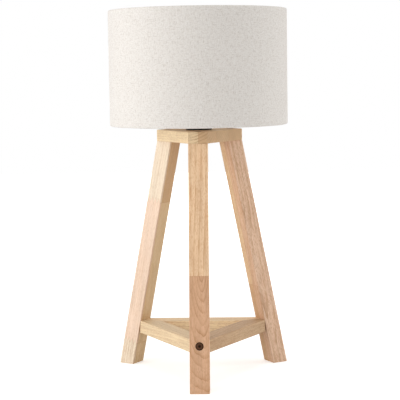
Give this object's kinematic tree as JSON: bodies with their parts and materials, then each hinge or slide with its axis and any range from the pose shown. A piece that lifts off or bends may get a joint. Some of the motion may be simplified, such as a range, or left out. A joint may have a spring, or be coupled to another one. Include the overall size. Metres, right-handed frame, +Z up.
{
  "type": "tripod table lamp",
  "caption": "Table lamp with a linen drum shade on a splayed wooden tripod, braced low down by an open wooden tray; holder, bulb and shade come apart.",
  "frame": {"origin": "on the surface that the lamp stands on, in the middle of the ground that it covers; the axis of plate, holder and shade stands 5.7 mm from it towards +Y", "axes": "+Z up, -Y along the front leg, +X to the right seen from the front"},
  "size_m": [0.28, 0.2912, 0.576],
  "materials": {
    "plate_wood": "oiled solid rubberwood, end grain at the cut corners",
    "leg_wood": "oiled solid rubberwood, grain along the leg",
    "tray_wood": "oiled solid rubberwood, grain along the bar",
    "dowel_wood": "plain beech dowel",
    "bronze": "dark bronze plated steel, satin",
    "zinc": "zinc plated steel",
    "black_plastic": "black moulded plastic, fine satin",
    "white_insulator": "white insulating moulding",
    "brass": "sheet brass",
    "white_wire": "white coated steel wire",
    "liner_film": "stiff white lining film",
    "linen": "natural slubbed linen, plain weave",
    "bulb_white": "white moulded housing",
    "opal": "opal diffusing plastic",
    "bulb_metal": "rolled nickel plated cap",
    "black_glass": "black insulating glass",
    "board": "white coated LED board"
  },
  "bodies": {
    "stand": {"top_plate": "plate_wood", "front_leg": "leg_wood", "right_leg": "leg_wood", "left_leg": "leg_wood", "tray_back_bar": "tray_wood", "tray_right_bar": "tray_wood", "tray_left_bar": "tray_wood", "leg_bolts": "bronze", "leg_inserts": "zinc", "leg_dowels": "dowel_wood", "tray_bolts": "bronze", "tray_inserts": "zinc", "tray_dowels": "dowel_wood", "threaded_nipple": "zinc", "nipple_washer": "zinc", "nipple_nut": "zinc", "holder_cap": "black_plastic", "contact_block": "white_insulator", "terminal_screws": "brass", "holder_skirt": "black_plastic", "screw_shell": "brass", "centre_contact": "brass"},
    "shade": {"shade_bottom_ring": "white_wire", "shade_top_ring": "white_wire", "shade_fitter_ring": "white_wire", "shade_arms": "white_wire", "shade_liner": "liner_film", "shade_fabric": "linen"},
    "retaining_ring": {"shade_ring": "black_plastic"},
    "bulb": {"bulb_contact": "bulb_metal", "bulb_insulator": "black_glass", "bulb_cap": "bulb_metal", "bulb_housing": "bulb_white", "bulb_led_board": "board", "bulb_dome": "opal"}
  },
  "joints": [
    {"name": "shade_turn", "type": "hinge", "parent": "stand", "child": "shade", "pos_m": [0, 0.00568, 0.4211], "axis": [0, 0, 1], "continuous": true},
    {"name": "ring_turn", "type": "hinge", "parent": "stand", "child": "retaining_ring", "pos_m": [0, 0.00568, 0.4232], "axis": [0, 0, 1], "continuous": true},
    {"name": "bulb_turn", "type": "hinge", "parent": "stand", "child": "bulb", "pos_m": [0, 0.00568, 0.414], "axis": [0, 0, 1], "continuous": true}
  ]
}
